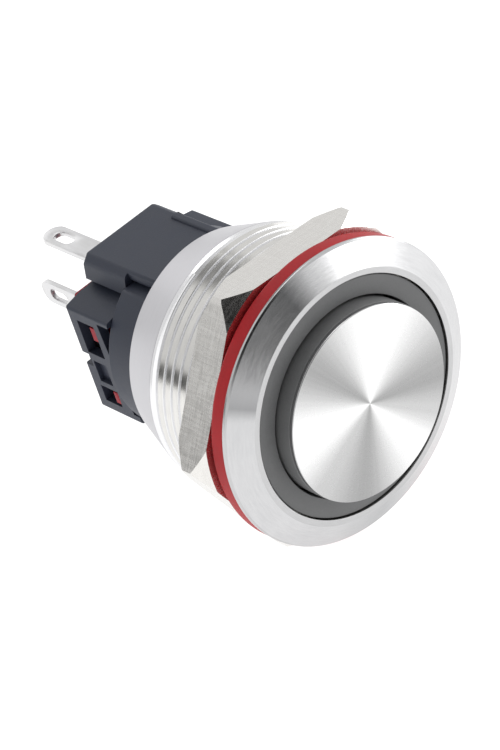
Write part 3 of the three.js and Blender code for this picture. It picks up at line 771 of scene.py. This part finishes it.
makeInsulator("leftCollar", "left_insulator", insulatorSize)
makeInsulator("rightCollar", "right_insulator", insulatorSize, True)
makeScrew("upperScrewHead", "upper_screw", screwSize)
makeScrew("lowerScrewHead", "lower_screw", screwSize, True)
makePlunger(plungerSize)
makeReturnSpring()
print("insulators, screws, plunger and return spring made")


# nodes that keep their own shape
keptNodes = {
    "seal_ring": "blackRubber", "stem_clip": "springSteel", "open_contact_spring": "springSteel",
    "closed_contact_spring": "springSteel", "open_bridge": "contactBrass", "closed_bridge": "contactBrass",
    "upper_rivet": "contactSilver", "lower_rivet": "contactSilver", "left_rivet": "contactSilver",
    "right_rivet": "contactSilver",
}
for node, material in keptNodes.items():
    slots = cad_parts[node].material_slots
    if not slots:
        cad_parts[node].data.materials.append(finish[material])
    for slot in slots:
        slot.material = finish[material]


# floor and light
studio = {
    "floorTop": -14.12, "floorColour": (0.30, 0.30, 0.30), "floorGlow": 0.95, "world": 0.85,
    "zones": [
        # direction, inner and outer half angle in degrees, how much light is left there
        ((0.04, -0.98, 0.12), 15, 25, 0.28),
        ((-0.31, -0.55, 0.78), 26, 40, 0.01),
        ((-0.72, 0.69, 0.09), 3, 7.5, 0.05),
        ((-0.72, 0.66, 0.20), 14, 34, 0.92),
        ((0.19, 0.69, 0.70), 6, 18, 0.3),
    ],
    "lamps": {
        # where it stands in metres, its side, and its power; each one points at the button
        "overhead": ((0.20, 0.15, 0.65), 0.35, 0.6),
        "rearTop": ((0.10, 0.62, 0.30), 0.36, 0.3),
        "right": ((0.64, -0.02, 0.15), 0.26, 1.1),
        "frontRight": ((0.48, -0.36, 0.10), 0.3, 0.6),
    },
}


def makeFloor(look):
    made = bmesh.new()
    bmesh.ops.create_grid(made, x_segments=4, y_segments=4, size=3)
    bmesh.ops.translate(made, vec=(0, 0, look["floorTop"] / 1000), verts=made.verts)
    mesh = bpy.data.meshes.new("floor")
    made.to_mesh(mesh)
    made.free()
    floor = bpy.data.objects.new("floor", mesh)
    scene.collection.objects.link(floor)
    paper, tree, shader = startMaterial("palePaper", {"colour": look["floorColour"], "roughness": 0.8})
    tone = noise(tree, place(tree), 40, 2)
    tree.links.new(mixColour(tree, tone, look["floorColour"], [c * 0.99 for c in look["floorColour"]]),
                   shader.inputs["Base Color"])
    shader.inputs["Emission Color"].default_value = (1, 1, 1, 1)
    shader.inputs["Emission Strength"].default_value = look["floorGlow"]
    mesh.materials.append(paper)


def makeSky(look):
    sky = bpy.data.worlds.new("softRoom")
    sky.use_nodes = True
    scene.world = sky
    tree = sky.node_tree
    tree.nodes.clear()
    where = addNode(tree, "ShaderNodeTexCoord").outputs["Generated"]
    level = None
    for direction, inner, outer, left in look["zones"]:
        aim = Vector(direction).normalized()
        dot = addNode(tree, "ShaderNodeVectorMath", {"operation": "DOT_PRODUCT"})
        tree.links.new(where, dot.inputs[0])
        dot.inputs[1].default_value = aim
        hole = addNode(tree, "ShaderNodeMapRange", {"interpolation_type": "SMOOTHSTEP"},
                       Value=dot.outputs["Value"])
        for socket, number in zip(("From Min", "From Max", "To Min", "To Max"),
                                  (math.cos(math.radians(outer)), math.cos(math.radians(inner)), 1, left)):
            hole.inputs[socket].default_value = number
        level = hole.outputs[0] if level is None else calc(tree, "MULTIPLY", level, hole.outputs[0])
    glow = addNode(tree, "ShaderNodeBackground", Color=(1, 1, 1, 1),
                   Strength=calc(tree, "MULTIPLY", level, look["world"]))
    out = addNode(tree, "ShaderNodeOutputWorld")
    tree.links.new(glow.outputs[0], out.inputs[0])


def addLamp(name, where, size, power):
    data = bpy.data.lights.new(name, "AREA")
    data.shape = "SQUARE"
    data.size = size
    data.energy = power
    lamp = bpy.data.objects.new(name, data)
    lamp.visible_camera = False
    lamp.location = where
    lamp.rotation_mode = "QUATERNION"
    lamp.rotation_quaternion = (-Vector(where)).to_track_quat("-Z", "Y")
    scene.collection.objects.link(lamp)


makeFloor(studio)
makeSky(studio)
for name, lamp in studio["lamps"].items():
    addLamp(name, *lamp)
scene.view_settings.view_transform = "Standard"
print("studio made")
